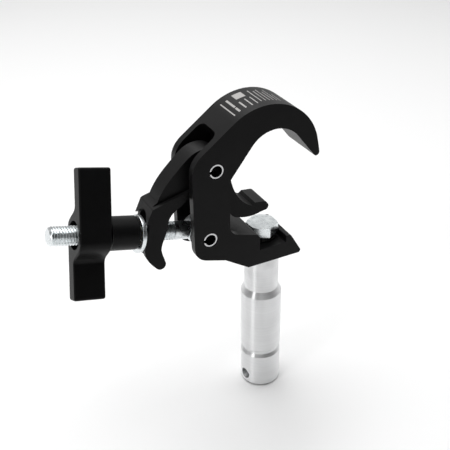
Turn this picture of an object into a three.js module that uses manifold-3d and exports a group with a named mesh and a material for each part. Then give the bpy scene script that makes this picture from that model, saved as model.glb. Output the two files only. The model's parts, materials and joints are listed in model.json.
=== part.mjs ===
// Trigger clamp for hanging stage lights from a tube, with a 28.6 mm spigot bolted under it.
// Millimetres, Z up. X runs along the profile, hook mouth towards +X and T handle towards -X.
// Y is the extrusion direction. The origin is the centre of the spigot's lower end face.
import * as THREE from 'three';
import { mergeVertices } from 'three/addons/utils/BufferGeometryUtils.js';
import Module from 'manifold-3d';

const wasm = await Module();
wasm.setup();

// ---------------------------------------------------------------- driving sizes
const GAP = 0.3; // clearance kept between neighbouring solids
const THROUGH = 60; // length of tools that cut right through
const BODY_WIDTH = 31;
const BACK_SLOPE = THREE.MathUtils.degToRad(36.6); // sloping back above the column
const SLOT_WIDTH = 21; // milled channel that holds the lever and the eye
const SLOT_CORNER = 5; // radius left at the slot's upper end
const LEVER_WIDTH = 19;
const HUB_RADIUS = 9.7; // of the lever, round its pin
const HUB_CLEARANCE = 0.7;
const ARM_WIDTH = 13; // waist of the lever above its ledge
const LEDGE = { x: -81.3, height: 58.1, slope: 0.246 };
const THREAD_RADIUS = 6; // M12, eye bolt and spigot bolt
const BOLT_HOLE_RADIUS = 6.6;
const PIN_RADIUS = 4.7; // light slotted pins in 10 mm bores
const PIN_WALL = 1;
const PIN_SHORT = 0.4; // the pins are this much shorter than the body is wide

const SPIGOT_RADIUS = 14.3;
const SPIGOT_LENGTH = 112; // the seat under the clamp body is at this height
const NECK_RADIUS = 11.9;
const NECK_LENGTH = 32;

// points of the profile, as [x, height above the seat]
// round crown of the mouth, between two straight flanks that centre tubes of 48 to 51 mm
const CROWN = { height: 75.35, radius: 20.4, flank: THREE.MathUtils.degToRad(52.3) };
const LEVER_PIN = [-40.5, 76.7];
const SCREW_PIN = [-45.7, 29.5];
const SCREW_TILT = THREE.MathUtils.degToRad(13.5); // screw rises towards the handle

// stations along the screw, from the eye's centre
const EYE_RADIUS = 10;
const EYE_WIDTH = 12;
const EYE_CLEARANCE = 2;
const SHANK = { start: 6, taperStart: 9, taperEnd: 16, endChamfer: 1.3 };
// U-shaped gap between the two prongs, with a round roof centred above the screw
const FORK = { gap: 13, root: 8, roofCentre: 9, floor: -40, mouth: 60 };
const PRONG_STATION = 42; // bearing faces of the prongs, round the screw's pin
const SPOT_FACE = { floor: 41, radius: 13.4 };
const WASHER = { start: 42.3, length: 2.5, radius: 12, bore: 7.3, drop: 1 }; // it hangs on the thread
const HANDLE = { start: 45.3, end: 84.5, boss: 10.6, hub: 11.5, bore: 8.6, wingStart: 64.5 };
const INSERT = { start: 46.2, end: 76, radius: HANDLE.bore - GAP };
const WING = { length: 39.9, thickness: 9.6, corner: 1.8, root: 18 };
const BAR_TURN = THREE.MathUtils.degToRad(25); // how far the bar is turned from the profile plane
const SCREW_END = 100.5;

const CHANNEL_HALF = 10.1; // channel in the foot that keeps the bolt head from turning
const CHANNEL_FLOOR = 11;
const HEAD_FLATS = 19;
const HEAD_HEIGHT = 7;
const HEAD_TOP_RADIUS = 9.8; // flat disc left by the head's chamfer
const HEAD_CHAMFER = 0.8;
const HEAD_TURN = THREE.MathUtils.degToRad(1.5); // the head rests a little askew in its channel
const BOLT_DEPTH = 19; // below the seat
const TAP_DEPTH = 24;

// ---------------------------------------------------------------- materials
const finish = (color, roughness, metalness) =>
  new THREE.MeshStandardMaterial({ color, roughness, metalness });
const BLACK_COAT = finish(0x17171a, 0.5, 0.2);
const BLACK_PLASTIC = finish(0x0d0d0f, 0.45, 0.0);
const ZINC = finish(0xc9cfd3, 0.3, 1.0);
const DARK_STEEL = finish(0x2a2a2c, 0.45, 0.9);
const SPRING_STEEL = finish(0x9a9a9c, 0.35, 1.0);
const BRASS = finish(0xb08d4a, 0.35, 1.0);
const TURNED_ALUMINIUM = finish(0xd7d9db, 0.22, 1.0);

// ---------------------------------------------------------------- solid helpers
function toSolid(geometry) {
  const bare = geometry.clone();
  bare.deleteAttribute('normal');
  bare.deleteAttribute('uv');
  const welded = mergeVertices(bare, 1e-4);
  const corners = welded.index.array;
  const triangles = [];
  for (let i = 0; i < corners.length; i += 3) {
    const [a, b, c] = corners.slice(i, i + 3);
    if (a !== b && b !== c && c !== a) triangles.push(a, b, c);
  }
  return new wasm.Manifold(new wasm.Mesh({
    numProp: 3,
    vertProperties: Float32Array.from(welded.attributes.position.array),
    triVerts: Uint32Array.from(triangles),
  }));
}

function toGeometry(solid) {
  const mesh = solid.getMesh();
  const geometry = new THREE.BufferGeometry();
  geometry.setAttribute('position', new THREE.BufferAttribute(mesh.vertProperties, 3));
  geometry.setIndex(new THREE.BufferAttribute(mesh.triVerts, 1));
  geometry.computeVertexNormals();
  return geometry;
}

const cut = (base, ...tools) => tools.reduce((solid, tool) => solid.subtract(tool), base);
const join = (...solids) => solids.reduce((whole, solid) => whole.add(solid));

// A shape drawn in the XZ profile, extruded evenly to both sides of Y = middle.
function slab(shape, width, middle = 0, curveSegments = 10) {
  const geometry = new THREE.ExtrudeGeometry(shape, {
    depth: width,
    bevelEnabled: false,
    curveSegments,
  });
  geometry.rotateX(Math.PI / 2);
  geometry.translate(0, middle + width / 2, 0);
  return toSolid(geometry);
}

function outline(points) {
  const shape = new THREE.Shape();
  shape.moveTo(...points[0]);
  points.slice(1).forEach((point) => shape.lineTo(...point));
  return shape;
}

function rectangle(x0, z0, x1, z1) {
  return outline([[x0, z0], [x1, z0], [x1, z1], [x0, z1]]);
}

// Straight bore or rod along Y through a point of the profile.
function crossRod([x, z], radius, length, segments = 40) {
  const geometry = new THREE.CylinderGeometry(radius, radius, length, segments);
  geometry.translate(x, 0, z);
  return toSolid(geometry);
}

// Turned solid about Z from [radius, height] pairs, listed from the bottom up the outside.
function turned(pairs, segments = 48) {
  const points = pairs.map(([r, h]) => new THREE.Vector2(r, h));
  const ring = pairs[0][0] > 0 ? [...points, points[0]] : points;
  const geometry = new THREE.LatheGeometry(ring, segments);
  geometry.rotateX(Math.PI / 2);
  return toSolid(geometry);
}

// Frame of the screw: local +Z runs along the screw from the eye, local +X is up across it.
const screwFrame = new THREE.Matrix4()
  .makeBasis(
    new THREE.Vector3(Math.sin(SCREW_TILT), 0, Math.cos(SCREW_TILT)),
    new THREE.Vector3(0, 1, 0),
    new THREE.Vector3(-Math.cos(SCREW_TILT), 0, Math.sin(SCREW_TILT)),
  )
  .setPosition(SCREW_PIN[0], 0, SCREW_PIN[1]);

const alongScrew = (solid) => solid.transform(screwFrame.elements);
const onScrew = (station, across) => {
  const point = new THREE.Vector3(across, 0, station).applyMatrix4(screwFrame);
  return [point.x, point.z];
};

// ---------------------------------------------------------------- hook body
// The extrusion's outline, from the foot's sole, up the channel and the column to the hook.
function bodyOutline() {
  const shape = new THREE.Shape();
  shape.moveTo(-18.5, 0);
  shape.lineTo(19.6, 0);
  shape.absarc(19.6, 1.8, 1.8, -Math.PI / 2, Math.PI / 6, false); // nose of the foot
  shape.lineTo(14.1, 15);
  shape.quadraticCurveTo(13.5, 16, 12.4, 16);
  shape.lineTo(CHANNEL_HALF + 0.6, 16);
  shape.quadraticCurveTo(CHANNEL_HALF, 16, CHANNEL_HALF, 15.3);
  shape.lineTo(CHANNEL_HALF, CHANNEL_FLOOR + 1.2);
  shape.quadraticCurveTo(CHANNEL_HALF, CHANNEL_FLOOR, CHANNEL_HALF - 1.2, CHANNEL_FLOOR);
  shape.lineTo(-CHANNEL_HALF, CHANNEL_FLOOR);
  shape.lineTo(-CHANNEL_HALF, 20);
  shape.quadraticCurveTo(-CHANNEL_HALF, 22.8, -12.8, 23.7);
  shape.lineTo(-25.4, 27.6);
  shape.quadraticCurveTo(-31.6, 29.4, -31.8, 35); // fillet into the column
  shape.lineTo(-31.8, 65);
  shape.quadraticCurveTo(-31.8, 67.6, -30.4, 69.4);
  // the mouth, an arch with straight flanks
  const { height, radius, flank } = CROWN;
  shape.absarc(0, height, radius, Math.PI / 2 + flank, Math.PI / 2 - flank, true);
  shape.lineTo(28.6, 71.8);
  shape.quadraticCurveTo(30.2, 69.8, 32, 71.4); // tip of the hook
  shape.quadraticCurveTo(32.9, 72.4, 32.6, 74);
  shape.lineTo(30.5, 84.4);
  shape.absarc(-6, 75, 37.7, 0.25, Math.PI / 2 + BACK_SLOPE, false); // back of the hook
  shape.lineTo(-49.4, 89.8);
  shape.quadraticCurveTo(-56.8, 84.3, -56.8, 76);
  shape.lineTo(-56.8, 26);
  shape.quadraticCurveTo(-56.6, 17.4, -48.4, 15);
  shape.lineTo(-35.4, 11);
  shape.closePath();
  return shape;
}

// Where the slot runs out on the sloping back, and its end wall square to that slope.
const SLOT_END = [-37.2, 98.9];
const onSlotEnd = (depth) => [
  SLOT_END[0] + depth * Math.sin(BACK_SLOPE),
  SLOT_END[1] - depth * Math.cos(BACK_SLOPE),
];

// What the end mill removes between the two cheeks, in profile.
function slotOutline() {
  const [px, pz] = LEVER_PIN;
  const [ex, ez] = SCREW_PIN;
  const shape = new THREE.Shape();
  shape.moveTo(...onSlotEnd(-4));
  shape.lineTo(-80, 102);
  shape.lineTo(-80, -5);
  shape.lineTo(-35.5, -5);
  shape.lineTo(-32.5, 12);
  shape.lineTo(ex + EYE_RADIUS + EYE_CLEARANCE, 27.5); // clears the eye
  shape.lineTo(-20, 27.5);
  shape.lineTo(-20, 72.2);
  shape.absarc(px, pz, HUB_RADIUS + HUB_CLEARANCE, -0.44, 0.6, false); // clears the hub
  shape.lineTo(...onSlotEnd(10));
  shape.closePath();
  return shape;
}

// What stays standing in one upper corner of the slot, so that the corner is round.
function slotSpandrel(side) {
  const height = 18;
  const block = new THREE.BoxGeometry(SLOT_CORNER, SLOT_CORNER, height);
  block.translate(SLOT_CORNER / 2, (side * SLOT_CORNER) / 2, 0);
  const round = new THREE.CylinderGeometry(SLOT_CORNER, SLOT_CORNER, height + 2, 24);
  round.rotateX(Math.PI / 2);
  const lean = new THREE.Matrix4().makeRotationY(-BACK_SLOPE);
  const place = new THREE.Matrix4().makeTranslation(
    SLOT_END[0] - SLOT_CORNER * Math.cos(BACK_SLOPE),
    side * (SLOT_WIDTH / 2 - SLOT_CORNER),
    SLOT_END[1] - SLOT_CORNER * Math.sin(BACK_SLOPE),
  );
  return cut(toSolid(block), toSolid(round)).transform(place.multiply(lean).elements);
}

function hookBody() {
  const slot = cut(slab(slotOutline(), SLOT_WIDTH), slotSpandrel(1), slotSpandrel(-1));
  const boltHole = new THREE.CylinderGeometry(BOLT_HOLE_RADIUS, BOLT_HOLE_RADIUS, THROUGH / 2, 40);
  boltHole.rotateX(Math.PI / 2);
  return cut(
    slab(bodyOutline(), BODY_WIDTH, 0, 14),
    slot,
    crossRod(LEVER_PIN, PIN_RADIUS + GAP, THROUGH),
    crossRod(SCREW_PIN, PIN_RADIUS + GAP, THROUGH),
    toSolid(boltHole),
  );
}

// ---------------------------------------------------------------- trigger lever
// Ledge of the lever: below this line it is full width, above it the arm is waisted.
const ledgeHeight = (x) => LEDGE.height + LEDGE.slope * (x - LEDGE.x);

function leverOutline() {
  const [px, pz] = LEVER_PIN;
  const [ex, ez] = SCREW_PIN;
  const shape = new THREE.Shape();
  shape.absarc(px, pz, HUB_RADIUS, -0.6, 0.8, false); // hub round the pin
  shape.quadraticCurveTo(-37, 89, -44.6, 88.8);
  // back of the arm
  shape.bezierCurveTo(-51, 88.7, -54.6, 85.6, -60, 80.7);
  shape.bezierCurveTo(-66.4, 74.6, -71.8, 70.2, -76.4, 60.6);
  shape.lineTo(-81.1, 57.7);
  // bearing end, round the screw's pin
  shape.absarc(ex, ez, 44, Math.PI - 0.45, Math.PI - 0.28, false);
  shape.absarc(ex, ez, PRONG_STATION, Math.PI - 0.24, Math.PI + 0.06, false);
  // prong and toe
  shape.quadraticCurveTo(-86.2, 21.6, -80.6, 15.4);
  shape.absarc(-77.8, 17.5, 3.4, Math.PI + 0.65, Math.PI * 2 + 0.35, false);
  shape.bezierCurveTo(-75.6, 23.4, -77.2, 26.6, -76.6, 29.6);
  shape.bezierCurveTo(-75.8, 34.6, -71.8, 40, -71.2, 45);
  shape.bezierCurveTo(-71, 51.6, -64.6, 54.4, -61.9, 55.7);
  // crook between the arm and the jaw
  shape.bezierCurveTo(-58, 59, -54, 62.4, -49, 62.4);
  shape.bezierCurveTo(-41, 62.4, -34.6, 52, -30.2, 44.4);
  shape.quadraticCurveTo(-27.6, 37.2, -22.4, 36.6);
  // underside and nose of the jaw
  shape.bezierCurveTo(-17.6, 34.9, -12, 34.5, -6.2, 36.4);
  shape.lineTo(-2.2, 36.9);
  shape.quadraticCurveTo(0.4, 39.2, -1.4, 41.4);
  shape.quadraticCurveTo(-2.5, 43.3, -4.4, 43.5);
  shape.lineTo(-10.6, 44.2);
  shape.lineTo(-12.6, 42.7); // relief behind the pad
  shape.lineTo(-13.8, 42.9);
  shape.lineTo(-15.2, 43.9);
  // saddle
  shape.bezierCurveTo(-21, 47.2, -25.4, 54.6, -27.2, 62);
  shape.lineTo(-28.4, 66.8);
  shape.quadraticCurveTo(-29.2, 68.2, -31, 68.8);
  shape.closePath();
  return shape;
}

function triggerLever() {
  const [left, right, top] = [-90, -10, 120]; // beyond the lever on every side
  const sides = outline([
    [left, ledgeHeight(left)], [right, ledgeHeight(right)], [right, top], [left, top],
  ]);
  const sideMiddle = (ARM_WIDTH + SLOT_WIDTH) / 2;
  const fork = outline([
    onScrew(FORK.mouth, FORK.roofCentre), onScrew(FORK.mouth, FORK.floor),
    onScrew(FORK.root, FORK.floor), onScrew(FORK.root, FORK.roofCentre),
  ]);
  const roof = new THREE.CylinderGeometry(FORK.gap / 2, FORK.gap / 2, FORK.mouth - FORK.root, 40);
  roof.rotateX(Math.PI / 2);
  roof.translate(FORK.roofCentre, 0, (FORK.mouth + FORK.root) / 2);
  const spotFace = turned([
    [0, SPOT_FACE.floor], [SPOT_FACE.radius, SPOT_FACE.floor],
    [SPOT_FACE.radius, FORK.mouth], [0, FORK.mouth],
  ]);
  return cut(
    slab(leverOutline(), LEVER_WIDTH),
    slab(sides, SLOT_WIDTH, sideMiddle),
    slab(sides, SLOT_WIDTH, -sideMiddle),
    slab(fork, FORK.gap),
    alongScrew(toSolid(roof)),
    alongScrew(spotFace),
    crossRod(LEVER_PIN, PIN_RADIUS + GAP, THROUGH),
  );
}

// ---------------------------------------------------------------- slotted spring pins
function springPin(centre) {
  const [x, z] = centre;
  const split = rectangle(x - THROUGH, z - 1, x, z + 0.9);
  return cut(
    crossRod(centre, PIN_RADIUS, BODY_WIDTH - PIN_SHORT),
    crossRod(centre, PIN_RADIUS - PIN_WALL, THROUGH),
    slab(split, THROUGH),
  );
}

// ---------------------------------------------------------------- eye bolt
function eyeBolt() {
  const { start, taperStart, taperEnd, endChamfer } = SHANK;
  const neck = EYE_WIDTH / 2 - 0.2;
  const shank = turned([
    [0, start], [neck, start], [neck, taperStart], [THREAD_RADIUS, taperEnd],
    [THREAD_RADIUS, SCREW_END - endChamfer], [THREAD_RADIUS - endChamfer, SCREW_END],
    [0, SCREW_END],
  ]);
  return cut(
    join(crossRod(SCREW_PIN, EYE_RADIUS, EYE_WIDTH, 48), alongScrew(shank)),
    crossRod(SCREW_PIN, PIN_RADIUS + GAP, THROUGH),
  );
}

function thrustWasher() {
  const { start, length, radius, bore, drop } = WASHER;
  const ring = turned([
    [bore, start], [radius, start], [radius, start + length], [bore, start + length],
  ]);
  return alongScrew(ring.transform(new THREE.Matrix4().makeTranslation(-drop, 0, 0).elements));
}

// ---------------------------------------------------------------- T handle
// Looking along the screw, the two wings leave the hub on opposite sides, like an S.
function barOutline() {
  const { hub } = HANDLE;
  const { length, thickness, corner, root } = WING;
  const inner = hub - thickness;
  const half = (shape, sign) => {
    const line = (x, y) => shape.lineTo(sign * x, sign * y);
    const bend = (...values) => shape.quadraticCurveTo(...values.map((value) => sign * value));
    const sweep = (...values) => shape.bezierCurveTo(...values.map((value) => sign * value));
    line(length - corner, -hub);
    bend(length, -hub, length, corner - hub);
    line(length, -inner - corner);
    bend(length, -inner, length - corner, -inner);
    line(root, -inner);
    sweep(12.5, -inner, 12, hub, 4, hub);
  };
  const shape = new THREE.Shape();
  shape.moveTo(-4, -hub);
  half(shape, 1);
  half(shape, -1);
  shape.closePath();
  return shape;
}

function tHandle() {
  const { start, end, boss, hub, bore, wingStart } = HANDLE;
  const bar = new THREE.ExtrudeGeometry(barOutline(), {
    depth: end - wingStart,
    bevelEnabled: false,
    curveSegments: 10,
  });
  bar.translate(0, 0, wingStart);
  bar.rotateZ(BAR_TURN);
  const overlap = 2; // the sleeve reaches this far into the bar
  const sleeve = turned([
    [0, start], [boss, start], [boss, wingStart + overlap], [0, wingStart + overlap],
  ]);
  const mouthBore = bore + 0.2;
  const hole = turned([
    [0, start - 1], [bore, start - 1], [bore, INSERT.end + GAP],
    [mouthBore, INSERT.end + GAP], [mouthBore, end + 1], [0, end + 1],
  ]);
  return alongScrew(cut(join(toSolid(bar), sleeve), hole));
}

// Threaded metal insert moulded into the handle.
function handleInsert() {
  const { start, end, radius } = INSERT;
  const inner = THREAD_RADIUS + GAP;
  return alongScrew(turned([[inner, start], [radius, start], [radius, end], [inner, end]], 36));
}

// ---------------------------------------------------------------- spigot and its bolt
const RING_RADIUS = 9.05;
const RING_BORE = THREAD_RADIUS + 0.4;
const FLAT_WASHER = { base: CHANNEL_FLOOR + GAP, height: 1.2 };
const LOCK_WASHER = { base: FLAT_WASHER.base + FLAT_WASHER.height + GAP, height: 1.7 };
const HEAD_BASE = LOCK_WASHER.base + LOCK_WASHER.height + GAP;

function ringWasher({ base, height }, outer) {
  return turned([
    [RING_BORE, base], [outer, base], [outer, base + height], [RING_BORE, base + height],
  ]);
}

function spigotBolt() {
  const corner = HEAD_FLATS / Math.sqrt(3);
  const top = HEAD_BASE + HEAD_HEIGHT;
  const head = new THREE.CylinderGeometry(corner, corner, HEAD_HEIGHT, 6);
  head.rotateX(Math.PI / 2);
  head.rotateZ(HEAD_TURN);
  head.translate(0, 0, HEAD_BASE + HEAD_HEIGHT / 2);
  const crown = turned([
    [0, HEAD_BASE - 1], [corner + 0.2, HEAD_BASE - 1], [corner + 0.2, top - HEAD_CHAMFER],
    [HEAD_TOP_RADIUS, top], [0, top],
  ]);
  const shank = turned([
    [0, -BOLT_DEPTH], [THREAD_RADIUS - 1, -BOLT_DEPTH], [THREAD_RADIUS, 1 - BOLT_DEPTH],
    [THREAD_RADIUS, HEAD_BASE + 1], [0, HEAD_BASE + 1],
  ]);
  return join(toSolid(head).intersect(crown), shank);
}

const GROOVE = { height: -82.3, half: 3.2, flat: 1, depth: 1.6 };
const CROSS_HOLE = { radius: 4, rise: 7.6, turn: THREE.MathUtils.degToRad(10) };

function spigot() {
  const r = SPIGOT_RADIUS;
  const shoulder = -NECK_LENGTH;
  const foot = -SPIGOT_LENGTH;
  const { height, half, flat, depth } = GROOVE;
  const endChamfer = 1.5;
  const topChamfer = 0.8;
  const blank = turned([
    [0, foot], [r - endChamfer, foot], [r, foot + endChamfer],
    [r, height - half], [r - depth, height - flat], [r - depth, height + flat], [r, height + half],
    [r, shoulder - 1.2], [NECK_RADIUS, shoulder + 3.2],
    [NECK_RADIUS, -GAP - topChamfer], [NECK_RADIUS - topChamfer, -GAP], [0, -GAP],
  ], 64);
  const tapRadius = THREAD_RADIUS + GAP;
  const tapped = turned([
    [0, -TAP_DEPTH], [tapRadius, 3 - TAP_DEPTH], [tapRadius, 1], [0, 1],
  ]);
  const crossHole = new THREE.CylinderGeometry(CROSS_HOLE.radius, CROSS_HOLE.radius, THROUGH, 32);
  crossHole.rotateZ(Math.PI / 2 + CROSS_HOLE.turn);
  crossHole.translate(0, 0, foot + CROSS_HOLE.rise);
  return cut(blank, tapped, toSolid(crossHole));
}

// ---------------------------------------------------------------- assembly
const clamp = new THREE.Group();
clamp.position.z = SPIGOT_LENGTH;

function addPart(name, solid, material) {
  const mesh = new THREE.Mesh(toGeometry(solid), material);
  mesh.name = name;
  clamp.add(mesh);
}

addPart('hook_body', hookBody(), BLACK_COAT);
addPart('trigger_lever', triggerLever(), BLACK_COAT);
addPart('lever_pin', springPin(LEVER_PIN), SPRING_STEEL);
addPart('eye_bolt_pin', springPin(SCREW_PIN), SPRING_STEEL);
addPart('eye_bolt', eyeBolt(), ZINC);
addPart('thrust_washer', thrustWasher(), ZINC);
addPart('t_handle', tHandle(), BLACK_PLASTIC);
addPart('handle_insert', handleInsert(), BRASS);
addPart('spigot_bolt', spigotBolt(), ZINC);
addPart('lock_washer', ringWasher(LOCK_WASHER, RING_RADIUS), DARK_STEEL);
addPart('flat_washer', ringWasher(FLAT_WASHER, RING_RADIUS + 0.4), DARK_STEEL);
addPart('spigot', spigot(), TURNED_ALUMINIUM);

const assembly = new THREE.Group();
assembly.add(clamp);

export default assembly;
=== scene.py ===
import json
import math

import bmesh
import bpy
from mathutils import Matrix, Vector


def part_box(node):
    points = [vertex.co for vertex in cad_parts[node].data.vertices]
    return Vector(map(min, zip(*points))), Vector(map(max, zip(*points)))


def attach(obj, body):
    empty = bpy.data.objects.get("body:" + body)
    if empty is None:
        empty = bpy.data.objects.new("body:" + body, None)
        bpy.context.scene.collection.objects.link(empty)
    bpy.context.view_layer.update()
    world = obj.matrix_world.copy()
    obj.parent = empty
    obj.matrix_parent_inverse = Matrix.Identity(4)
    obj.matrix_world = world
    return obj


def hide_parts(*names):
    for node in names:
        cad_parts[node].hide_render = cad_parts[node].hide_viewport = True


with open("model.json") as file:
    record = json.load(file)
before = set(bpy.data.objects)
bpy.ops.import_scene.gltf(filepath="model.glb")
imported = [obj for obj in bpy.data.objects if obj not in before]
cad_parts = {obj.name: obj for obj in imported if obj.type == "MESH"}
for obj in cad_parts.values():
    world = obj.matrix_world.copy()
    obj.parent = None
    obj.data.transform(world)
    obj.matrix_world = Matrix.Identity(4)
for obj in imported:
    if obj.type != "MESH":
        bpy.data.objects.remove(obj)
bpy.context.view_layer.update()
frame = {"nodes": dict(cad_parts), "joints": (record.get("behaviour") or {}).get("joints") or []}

MM = 0.001
NODES = frame["nodes"]
JOINTS = {joint["name"]: joint for joint in frame["joints"]}
EYE_CENTRE = Vector(JOINTS["screw_swing"]["pos_m"])
SCREW_AXIS = Vector(JOINTS["handle_turn"]["axis"]).normalized()
if SCREW_AXIS.x > 0:
    SCREW_AXIS.negate()
SEAT_CLEARANCE = 0.3 * MM
SEAT_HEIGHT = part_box("spigot")[1].z + SEAT_CLEARANCE


# ------------------------------------------------------------------ camera, floor and light
CAMERA_AZIMUTH = math.radians(26.8)
CAMERA_ELEVATION = math.radians(31.54)
CAMERA_ROLL = math.radians(0.84)
CAMERA_TARGET = Vector((-0.0277, 0, 0.1392))
CAMERA_DISTANCE = 0.5229
CAMERA_LENS = 64.03
CAMERA_SENSOR = 36
CAMERA_CLIP_START = 0.01

# the surroundings brighten towards this side of the object
BRIGHT_SIDE = (0.6, 0.8, 0)
BRIGHT_SIDE_FROM = -0.3
BRIGHT_SIDE_TO = 1.0
DIM_STRENGTH = 0.04
BRIGHT_STRENGTH = 0.68
BACKDROP_GREY = (0.9, 0.9, 0.9, 1)

FLOOR_HALF = 6
FLOOR_DROP = 0.2 * MM
FLOOR_GREY = (0.9, 0.9, 0.9, 1)
FLOOR_ROUGHNESS = 0.9
FLOOR_GLOSS = 0.1


def make_camera():
    a, e, roll = CAMERA_AZIMUTH, CAMERA_ELEVATION, CAMERA_ROLL
    forward = Vector((math.sin(a) * math.cos(e), math.cos(a) * math.cos(e), -math.sin(e)))
    level = Vector((math.cos(a), -math.sin(a), 0))
    upright = level.cross(forward)
    right = math.cos(roll) * level - math.sin(roll) * upright
    up = math.cos(roll) * upright + math.sin(roll) * level
    data = bpy.data.cameras.new("camera")
    data.lens = CAMERA_LENS
    data.sensor_width = CAMERA_SENSOR
    data.clip_start = CAMERA_CLIP_START
    camera = bpy.data.objects.new("camera", data)
    bpy.context.scene.collection.objects.link(camera)
    place = Matrix((right, up, -forward)).transposed().to_4x4()
    place.translation = CAMERA_TARGET - CAMERA_DISTANCE * forward
    camera.matrix_world = place
    bpy.context.scene.camera = camera


def add_light(name, location, target, width, height, power):
    data = bpy.data.lights.new(name, "AREA")
    data.shape = "RECTANGLE"
    data.size = width
    data.size_y = height
    data.energy = power
    lamp = bpy.data.objects.new(name, data)
    bpy.context.scene.collection.objects.link(lamp)
    lamp.location = location
    aim = Vector(target) - Vector(location)
    lamp.rotation_euler = aim.to_track_quat("-Z", "Y").to_euler()


def make_world():
    """Soft surroundings, dimmer in front of the object than behind it; the backdrop is plain."""
    world = bpy.data.worlds.new("studio")
    world.use_nodes = True
    tree = world.node_tree
    direction = tree.nodes.new("ShaderNodeTexCoord").outputs["Generated"]
    towards = tree.nodes.new("ShaderNodeVectorMath")
    towards.operation = "DOT_PRODUCT"
    towards.inputs[1].default_value = BRIGHT_SIDE
    tree.links.new(direction, towards.inputs[0])
    fade = tree.nodes.new("ShaderNodeMapRange")
    fade.interpolation_type = "SMOOTHSTEP"
    fade.inputs["From Min"].default_value = BRIGHT_SIDE_FROM
    fade.inputs["From Max"].default_value = BRIGHT_SIDE_TO
    fade.inputs["To Min"].default_value = DIM_STRENGTH
    fade.inputs["To Max"].default_value = BRIGHT_STRENGTH
    tree.links.new(towards.outputs["Value"], fade.inputs["Value"])
    light = tree.nodes["Background"]
    light.inputs["Color"].default_value = (1, 1, 1, 1)
    tree.links.new(fade.outputs["Result"], light.inputs["Strength"])
    backdrop = tree.nodes.new("ShaderNodeBackground")
    backdrop.inputs["Color"].default_value = BACKDROP_GREY
    choice = tree.nodes.new("ShaderNodeMixShader")
    seen = tree.nodes.new("ShaderNodeLightPath").outputs["Is Camera Ray"]
    tree.links.new(seen, choice.inputs["Fac"])
    tree.links.new(light.outputs["Background"], choice.inputs[1])
    tree.links.new(backdrop.outputs["Background"], choice.inputs[2])
    tree.links.new(choice.outputs["Shader"], tree.nodes["World Output"].inputs["Surface"])
    bpy.context.scene.world = world


def make_floor():
    half = FLOOR_HALF
    mesh = bpy.data.meshes.new("floor")
    mesh.from_pydata([(-half, -half, 0), (half, -half, 0), (half, half, 0), (-half, half, 0)],
                     [], [(0, 1, 2, 3)])
    floor = bpy.data.objects.new("floor", mesh)
    floor.location.z = -FLOOR_DROP
    bpy.context.scene.collection.objects.link(floor)
    paint = bpy.data.materials.new("floor_paint")
    paint.use_nodes = True
    shader = paint.node_tree.nodes["Principled BSDF"]
    shader.inputs["Base Color"].default_value = FLOOR_GREY
    shader.inputs["Roughness"].default_value = FLOOR_ROUGHNESS
    shader.inputs["Specular IOR Level"].default_value = FLOOR_GLOSS
    mesh.materials.append(paint)


def make_studio():
    make_floor()
    make_world()
    add_light("overhead", location=(-0.1, 0.25, 1.6), target=(0, 0.05, 0.1),
              width=1.6, height=1.6, power=31.5)
    add_light("left_strip", location=(-1.5, -0.5, 0.8), target=(0, 0, 0.1),
              width=0.25, height=1.6, power=5)
    bpy.context.scene.view_settings.view_transform = "Standard"


# ------------------------------------------------------------------ materials
# Noise values that matter lie in this range; most maps below stretch it.
NOISE_LOW = 0.3
NOISE_HIGH = 0.7
# the coat's gloss rises between these two values of the facing weight
GLOSS_FACING_ON = 0.28
GLOSS_GRAZING = 0.5


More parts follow.
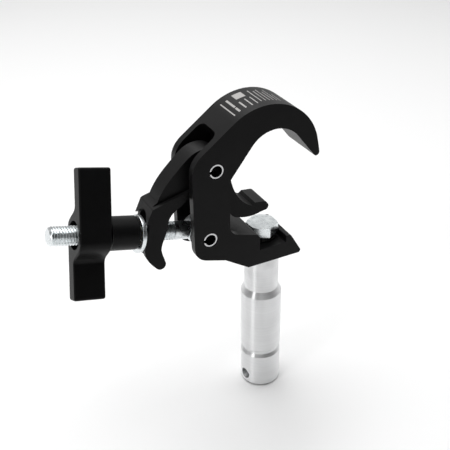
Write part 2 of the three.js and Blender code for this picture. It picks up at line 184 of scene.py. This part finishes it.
class Paint:
    """Small helper that builds one procedural material around a Principled shader."""

    def __init__(self, name):
        self.material = bpy.data.materials.new(name)
        self.material.use_nodes = True
        self.tree = self.material.node_tree
        self.shader = self.tree.nodes["Principled BSDF"]
        self.place = self.node("ShaderNodeTexCoord").outputs["Object"]

    def node(self, kind, **values):
        made = self.tree.nodes.new(kind)
        for key, value in values.items():
            setattr(made, key, value)
        return made

    def link(self, source, target):
        self.tree.links.new(source, target)

    def drive(self, name, source):
        """Feeds one input of the shader from a node's output."""
        self.link(source, self.shader.inputs[name])

    def set(self, **values):
        for key, value in values.items():
            self.shader.inputs[key.replace("_", " ").title()].default_value = value

    def scaled(self, scale):
        mapping = self.node("ShaderNodeMapping")
        mapping.inputs["Scale"].default_value = scale
        self.link(self.place, mapping.inputs["Vector"])
        return mapping.outputs["Vector"]

    def noise(self, scale, detail, vector=None):
        made = self.node("ShaderNodeTexNoise")
        made.inputs["Scale"].default_value = scale
        made.inputs["Detail"].default_value = detail
        self.link(vector or self.place, made.inputs["Vector"])
        return made.outputs["Fac"]

    def spread(self, value, low, high, from_low=NOISE_LOW, from_high=NOISE_HIGH):
        made = self.node("ShaderNodeMapRange")
        made.inputs["From Min"].default_value = from_low
        made.inputs["From Max"].default_value = from_high
        made.inputs["To Min"].default_value = low
        made.inputs["To Max"].default_value = high
        self.link(value, made.inputs["Value"])
        return made.outputs["Result"]

    def tint(self, value, dark, light):
        made = self.node("ShaderNodeMix", data_type="RGBA")
        made.inputs["A"].default_value = (*dark, 1)
        made.inputs["B"].default_value = (*light, 1)
        self.link(value, made.inputs["Factor"])
        return made.outputs["Result"]

    def math(self, operation, first, second=0.0):
        made = self.node("ShaderNodeMath", operation=operation)
        for socket, value in zip(made.inputs, (first, second)):
            if isinstance(value, (int, float)):
                socket.default_value = value
            else:
                self.link(value, socket)
        return made.outputs["Value"]

    def inside(self, value, low, high):
        """1 where value lies between low and high, else 0."""
        above = self.math("GREATER_THAN", value, low)
        return self.math("MULTIPLY", above, self.math("LESS_THAN", value, high))

    def split(self, vector):
        parts = self.node("ShaderNodeSeparateXYZ")
        self.link(vector, parts.inputs["Vector"])
        return parts.outputs

    def grazing_gloss(self, facing_on, grazing):
        """A matt black coat that gets glossier towards grazing angles."""
        weight = self.node("ShaderNodeLayerWeight").outputs["Facing"]
        gloss = self.spread(weight, facing_on, grazing, GLOSS_FACING_ON, GLOSS_GRAZING)
        self.drive("Specular IOR Level", gloss)

    def bump(self, height, distance, strength, below=None):
        made = self.node("ShaderNodeBump")
        made.inputs["Strength"].default_value = strength
        made.inputs["Distance"].default_value = distance
        self.link(height, made.inputs["Height"])
        if below is not None:
            self.link(below, made.inputs["Normal"])
        return made.outputs["Normal"]


# Plain bars printed on the hook's crown, as (first angle, last angle, first Y, last Y):
# degrees round the crown's centre from +X, and millimetres across the extrusion.
PRINTED_BARS = [
    (119.4, 120.6, -9.5, 9.5),
    (112.6, 114.8, -9.0, -3.5),
    (112.6, 114.8, -2.5, 9.0),
    (106.0, 107.6, -9.0, 0.0),
    (96.5, 106.5, 4.0, 11.0),
    (99.8, 101.0, -9.5, 1.0),
    (94.4, 95.4, -9.5, 1.0),
    (89.6, 90.6, -8.5, 10.0),
    (85.2, 86.0, -8.5, 8.0),
    (81.2, 82.0, -8.5, 10.0),
    (77.2, 78.0, -8.5, 6.0),
    (73.2, 74.0, -8.5, 10.0),
    (69.2, 70.0, -8.5, 3.0),
]
PRINT_CENTRE = Vector((-6 * MM, 0, SEAT_HEIGHT + 75 * MM))
PRINT_INNER_RADIUS = 37 * MM
INK_COVER = 0.9
INK_COLOUR = (0.42, 0.41, 0.40, 1)


def print_mask(paint):
    """1 on the printed bars and 0 elsewhere; the radius keeps them on the outside."""
    parts = paint.split(paint.place)
    across = paint.math("SUBTRACT", parts["X"], PRINT_CENTRE.x)
    up = paint.math("SUBTRACT", parts["Z"], PRINT_CENTRE.z)
    angle = paint.math("ARCTAN2", up, across)
    reach = paint.math("SQRT", paint.math(
        "ADD", paint.math("MULTIPLY", up, up), paint.math("MULTIPLY", across, across)))
    total = 0.0
    for first, last, near, far in PRINTED_BARS:
        along = paint.inside(angle, math.radians(first), math.radians(last))
        width = paint.inside(parts["Y"], near * MM, far * MM)
        total = paint.math("MAXIMUM", paint.math("MULTIPLY", along, width), total)
    return paint.math("MULTIPLY", total, paint.math("GREATER_THAN", reach, PRINT_INNER_RADIUS))


def black_coat(name, printed=False):
    """Anodised aluminium, with faint die lines along the extrusion and a fine grain."""
    paint = Paint(name)
    paint.grazing_gloss(facing_on=0.10, grazing=0.27)
    cloud = paint.noise(scale=60, detail=4)
    grain = paint.noise(scale=2600, detail=3)
    die_lines = paint.noise(scale=1.0, detail=2, vector=paint.scaled((3800, 60, 3800)))
    colour = paint.tint(paint.spread(cloud, 0, 1),
                        dark=(0.0036, 0.0035, 0.0037), light=(0.0052, 0.0050, 0.0052))
    if printed:
        ink = paint.node("ShaderNodeMix", data_type="RGBA")
        paint.link(paint.math("MULTIPLY", print_mask(paint), INK_COVER), ink.inputs["Factor"])
        paint.link(colour, ink.inputs["A"])
        ink.inputs["B"].default_value = INK_COLOUR
        colour = ink.outputs["Result"]
    paint.drive("Base Color", colour)
    paint.drive("Roughness", paint.spread(grain, low=0.38, high=0.48))
    lines = paint.bump(die_lines, distance=0.01 * MM, strength=0.25)
    paint.drive("Normal", paint.bump(grain, distance=0.02 * MM, strength=0.45, below=lines))
    return paint.material


def black_plastic():
    paint = Paint("black_plastic")
    paint.grazing_gloss(facing_on=0.12, grazing=0.2)
    cloud = paint.noise(scale=90, detail=3)
    grain = paint.noise(scale=3800, detail=2)
    paint.drive("Base Color", paint.tint(
        paint.spread(cloud, 0, 1), dark=(0.0024, 0.0024, 0.0025), light=(0.0036, 0.0036, 0.0038)))
    paint.drive("Roughness", paint.spread(grain, low=0.38, high=0.50))
    paint.drive("Normal", paint.bump(grain, distance=0.015 * MM, strength=0.5))
    return paint.material


def zinc_plate():
    paint = Paint("zinc_plate")
    paint.set(metallic=1.0)
    cloud = paint.noise(scale=350, detail=4)
    speck = paint.noise(scale=1800, detail=2)
    paint.drive("Base Color", paint.tint(
        paint.spread(cloud, 0, 1), dark=(0.70, 0.74, 0.75), light=(0.88, 0.91, 0.92)))
    paint.drive("Roughness", paint.spread(cloud, low=0.24, high=0.36))
    paint.drive("Normal", paint.bump(speck, distance=0.01 * MM, strength=0.2))
    return paint.material


def dark_steel():
    paint = Paint("dark_steel")
    paint.set(metallic=1.0)
    cloud = paint.noise(scale=500, detail=4)
    paint.drive("Base Color", paint.tint(
        paint.spread(cloud, 0, 1), dark=(0.035, 0.034, 0.034), light=(0.07, 0.068, 0.066)))
    paint.drive("Roughness", paint.spread(cloud, low=0.35, high=0.5))
    paint.drive("Normal", paint.bump(cloud, distance=0.01 * MM, strength=0.4))
    return paint.material


def spring_steel():
    """Bright on the ground end faces, blackened everywhere else."""
    paint = Paint("spring_steel")
    paint.set(metallic=1.0)
    normal = paint.split(paint.node("ShaderNodeNewGeometry").outputs["Normal"])
    facing = paint.math("ABSOLUTE", normal["Y"])
    cloud = paint.noise(scale=500, detail=4)
    bright = paint.spread(facing, 0, 1, from_low=0.5, from_high=0.8)
    paint.drive("Base Color", paint.tint(
        bright, dark=(0.012, 0.012, 0.013), light=(0.62, 0.62, 0.63)))
    paint.drive("Roughness", paint.spread(cloud, low=0.28, high=0.42))
    paint.drive("Normal", paint.bump(cloud, distance=0.01 * MM, strength=0.4))
    return paint.material


def turned_brass():
    paint = Paint("turned_brass")
    paint.set(metallic=1.0)
    cloud = paint.noise(scale=400, detail=3)
    paint.drive("Base Color", paint.tint(
        paint.spread(cloud, 0, 1), dark=(0.42, 0.30, 0.12), light=(0.56, 0.42, 0.18)))
    paint.drive("Roughness", paint.spread(cloud, low=0.28, high=0.42))
    return paint.material


def turned_aluminium():
    """Fine rings from turning, which stretch the reflections along the axis."""
    paint = Paint("turned_aluminium")
    paint.set(metallic=1.0, anisotropic=0.9, anisotropic_rotation=0.25)
    tangent = paint.node("ShaderNodeTangent", direction_type="RADIAL", axis="Z")
    paint.drive("Tangent", tangent.outputs["Tangent"])
    cloud = paint.noise(scale=120, detail=3)
    rings = paint.noise(scale=1.0, detail=2, vector=paint.scaled((40, 40, 9000)))
    paint.drive("Base Color", paint.tint(
        paint.spread(rings, 0, 1), dark=(0.80, 0.805, 0.81), light=(0.90, 0.905, 0.91)))
    paint.drive("Roughness", paint.spread(cloud, low=0.34, high=0.42))
    paint.drive("Normal", paint.bump(rings, distance=0.004 * MM, strength=0.35))
    return paint.material


MATERIALS = {
    "black_coat": black_coat("black_coat"),
    "black_plastic": black_plastic(),
    "zinc_plate": zinc_plate(),
    "dark_steel": dark_steel(),
    "spring_steel": spring_steel(),
    "brass": turned_brass(),
    "turned_aluminium": turned_aluminium(),
}


# ------------------------------------------------------------------ mesh helpers
MERGE_DISTANCE = 0.002 * MM
FLAT_ANGLE = math.radians(0.6)
CORNER_ANGLE = math.radians(30)
SHADING_ANGLE = math.radians(40)
THREAD_SHADING_ANGLE = math.radians(50)
SHADING_WEIGHT = 60
CUT_TOLERANCE = 0.0001 * MM


def publish(made, name, body, slot, replaced, material=None):
    """Turns a bmesh into a finished piece that rides on its body."""
    mesh = bpy.data.meshes.new(name)
    made.to_mesh(mesh)
    made.free()
    for face in mesh.polygons:
        face.use_smooth = True
    mesh.materials.append(material or MATERIALS[slot])
    piece = bpy.data.objects.new(name, mesh)
    bpy.context.scene.collection.objects.link(piece)
    weighted = piece.modifiers.new("even_shading", "WEIGHTED_NORMAL")
    weighted.keep_sharp = True
    weighted.weight = SHADING_WEIGHT
    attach(piece, body)
    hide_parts(replaced)


def clean_copy(node):
    """A CAD node's surface with its triangles merged back into whole faces."""
    made = bmesh.new()
    made.from_mesh(NODES[node].data)
    bmesh.ops.remove_doubles(made, verts=made.verts, dist=MERGE_DISTANCE)
    bmesh.ops.dissolve_limit(
        made, angle_limit=FLAT_ANGLE, verts=made.verts, edges=made.edges,
        use_dissolve_boundaries=False)
    return made


def bevel(made, edges, width, segments, clamp_overlap=True):
    bmesh.ops.bevel(made, geom=edges, offset=width, offset_type="OFFSET", segments=segments,
                    profile=0.5, affect="EDGES", clamp_overlap=clamp_overlap)


def is_corner(edge, angle):
    return len(edge.link_faces) == 2 and edge.calc_face_angle(0) > angle


def round_edges(made, width, segments=3, corner_angle=CORNER_ANGLE):
    edges = [edge for edge in made.edges if is_corner(edge, corner_angle)]
    bevel(made, edges, width, segments)
    for edge in made.edges:
        if is_corner(edge, SHADING_ANGLE):
            edge.smooth = False


def refined(node, body, slot, width, segments=3, corner_angle=CORNER_ANGLE, material=None):
    made = clean_copy(node)
    round_edges(made, width, segments, corner_angle)
    publish(made, node + "_finished", body, slot, node, material)


def cut_off(made, point, direction):
    """Removes everything beyond a plane and closes the cut."""
    geometry = made.verts[:] + made.edges[:] + made.faces[:]
    bmesh.ops.bisect_plane(made, geom=geometry, plane_co=point, plane_no=direction,
                           clear_outer=True, dist=CUT_TOLERANCE)
    open_edges = [edge for edge in made.edges if edge.is_boundary]
    bmesh.ops.holes_fill(made, edges=open_edges, sides=0)
    bmesh.ops.recalc_face_normals(made, faces=made.faces)


# ------------------------------------------------------------------ eye bolt
THREAD_PITCH = 1.75 * MM
THREAD_RADIUS = 6 * MM
THREAD_DEPTH = 1.0 * MM
THREAD_START = 20 * MM  # from the eye's centre
THREAD_CHAMFER = 1.3 * MM
THREAD_SIDES = 40
THREAD_LEAD_IN = 1.5  # turns of skin below the start
THREAD_SPARE_TURNS = 2
EYE_OVERLAP = 0.1 * MM
EYE_ROUNDING = 0.5 * MM
# one pitch of the thread: (share of the pitch, share of the depth)
THREAD_SECTION = [(0.0, 0.0), (0.16, 0.0), (0.24, 0.12), (0.44, 0.9),
                  (0.52, 1.0), (0.64, 1.0), (0.72, 0.9), (0.92, 0.12)]


def thread_surface(first, last):
    """An open helical skin about +Z that reaches a little past both ends."""
    made = bmesh.new()
    per_turn = len(THREAD_SECTION)
    turns = math.ceil((last - first) / THREAD_PITCH) + THREAD_SPARE_TURNS
    rows = []
    for row in range(turns * per_turn):
        share, depth = THREAD_SECTION[row % per_turn]
        ring = []
        for side in range(THREAD_SIDES):
            turn = side / THREAD_SIDES
            height = first + THREAD_PITCH * (row // per_turn + share + turn - THREAD_LEAD_IN)
            radius = THREAD_RADIUS - depth * THREAD_DEPTH
            radius = min(radius, THREAD_RADIUS - (height - last + THREAD_CHAMFER))
            angle = math.tau * turn
            ring.append(made.verts.new((radius * math.cos(angle), radius * math.sin(angle), height)))
        rows.append(ring)
    for row in range(len(rows) - 1):
        for side in range(THREAD_SIDES - 1):
            made.faces.new((rows[row][side], rows[row][side + 1],
                            rows[row + 1][side + 1], rows[row + 1][side]))
        # the last side of a row meets the first side of the row one turn further on
        if row + 1 + per_turn < len(rows):
            made.faces.new((rows[row][-1], rows[row + per_turn][0],
                            rows[row + per_turn + 1][0], rows[row + 1][-1]))
    return made


def screw_matrix():
    """Places +Z of a piece along the screw, with its origin at the eye's centre."""
    z_axis = SCREW_AXIS
    y_axis = Vector((0, 1, 0))
    x_axis = y_axis.cross(z_axis)
    place = Matrix((x_axis, y_axis, z_axis)).transposed().to_4x4()
    place.translation = EYE_CENTRE
    return place


def eye_bolt():
    """A threaded rod and the eye end, which overlap a little inside the shank."""
    node = NODES["eye_bolt"].data
    screw_end = max((vertex.co - EYE_CENTRE).dot(SCREW_AXIS) for vertex in node.vertices)
    rod = thread_surface(THREAD_START, screw_end)
    cut_off(rod, Vector((0, 0, THREAD_START)), Vector((0, 0, -1)))
    cut_off(rod, Vector((0, 0, screw_end)), Vector((0, 0, 1)))
    bmesh.ops.transform(rod, matrix=screw_matrix(), verts=rod.verts)
    for edge in rod.edges:
        edge.smooth = edge.calc_face_angle(0) < THREAD_SHADING_ANGLE
    publish(rod, "eye_bolt_thread", "screw", "zinc_plate", "eye_bolt")
    eye = clean_copy("eye_bolt")
    cut_off(eye, EYE_CENTRE + (THREAD_START + EYE_OVERLAP) * SCREW_AXIS, SCREW_AXIS)
    round_edges(eye, EYE_ROUNDING)
    publish(eye, "eye_bolt_eye", "screw", "zinc_plate", "eye_bolt")


# ------------------------------------------------------------------ T handle
HANDLE_BORE_REGION = 9.5 * MM  # edges nearer to the screw's axis belong to the bore
HANDLE_CORNER_ANGLE = math.radians(40)
HANDLE_OUTSIDE_ROUNDING = 1.3 * MM
HANDLE_BORE_ROUNDING = 0.4 * MM


def handle_corners(made, outside):
    edges = []
    for edge in made.edges:
        middle = (edge.verts[0].co + edge.verts[1].co) / 2 - EYE_CENTRE
        off_axis = (middle - middle.dot(SCREW_AXIS) * SCREW_AXIS).length
        if is_corner(edge, HANDLE_CORNER_ANGLE) and (off_axis > HANDLE_BORE_REGION) == outside:
            edges.append(edge)
    return edges


def t_handle():
    """Well rounded outside edges, and a finer break round the bore."""
    made = clean_copy("t_handle")
    # the short edges of the wings' corners would clamp the outside rounding to almost nothing
    bevel(made, handle_corners(made, outside=True), HANDLE_OUTSIDE_ROUNDING, 4, clamp_overlap=False)
    bevel(made, handle_corners(made, outside=False), HANDLE_BORE_ROUNDING, 2)
    publish(made, "t_handle_finished", "handle", "black_plastic", "t_handle")


# ------------------------------------------------------------------ split lock washer
LOCK_WASHER_BORE = THREAD_RADIUS + 0.4 * MM
LOCK_WASHER_RISE = 0.3 * MM
LOCK_WASHER_GAP = math.radians(9)
LOCK_WASHER_STEPS = 72
LOCK_WASHER_ROUNDING = 0.15 * MM


def lock_washer():
    """A square-section ring, cut through once, that rises a little from end to end."""
    low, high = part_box("lock_washer")
    outer = (high.x - low.x) / 2
    inner = LOCK_WASHER_BORE
    thickness = high.z - low.z - LOCK_WASHER_RISE
    made = bmesh.new()
    sections = []
    for step in range(LOCK_WASHER_STEPS + 1):
        share = step / LOCK_WASHER_STEPS
        angle = LOCK_WASHER_GAP / 2 + (math.tau - LOCK_WASHER_GAP) * share
        base = low.z + LOCK_WASHER_RISE * share
        top = base + thickness
        corners = ((inner, base), (outer, base), (outer, top), (inner, top))
        sections.append([made.verts.new((r * math.cos(angle), r * math.sin(angle), z))
                         for r, z in corners])
    for one, two in zip(sections, sections[1:]):
        for k in range(4):
            made.faces.new((one[k], one[k - 1], two[k - 1], two[k]))
    made.faces.new(sections[0])
    made.faces.new(sections[-1][::-1])
    bmesh.ops.recalc_face_normals(made, faces=made.faces)
    round_edges(made, LOCK_WASHER_ROUNDING, 2)
    publish(made, "lock_washer_split", "body", "dark_steel", "lock_washer")


# ------------------------------------------------------------------ the clamp
make_camera()
make_studio()

refined("hook_body", "body", "black_coat", width=0.5 * MM,
        material=black_coat("black_coat_printed", printed=True))
refined("trigger_lever", "trigger", "black_coat", width=0.45 * MM)
refined("lever_pin", "body", "spring_steel", width=0.25 * MM, segments=2)
refined("eye_bolt_pin", "body", "spring_steel", width=0.25 * MM, segments=2)
eye_bolt()
refined("thrust_washer", "washer", "zinc_plate", width=0.35 * MM)
t_handle()
refined("handle_insert", "handle", "brass", width=0.3 * MM)
refined("spigot_bolt", "body", "zinc_plate", width=0.25 * MM)
lock_washer()
refined("flat_washer", "body", "dark_steel", width=0.2 * MM)
# the lower corner angle also rounds the spigot's shallow chamfers
refined("spigot", "body", "turned_aluminium", width=0.3 * MM, segments=2,
        corner_angle=math.radians(12))
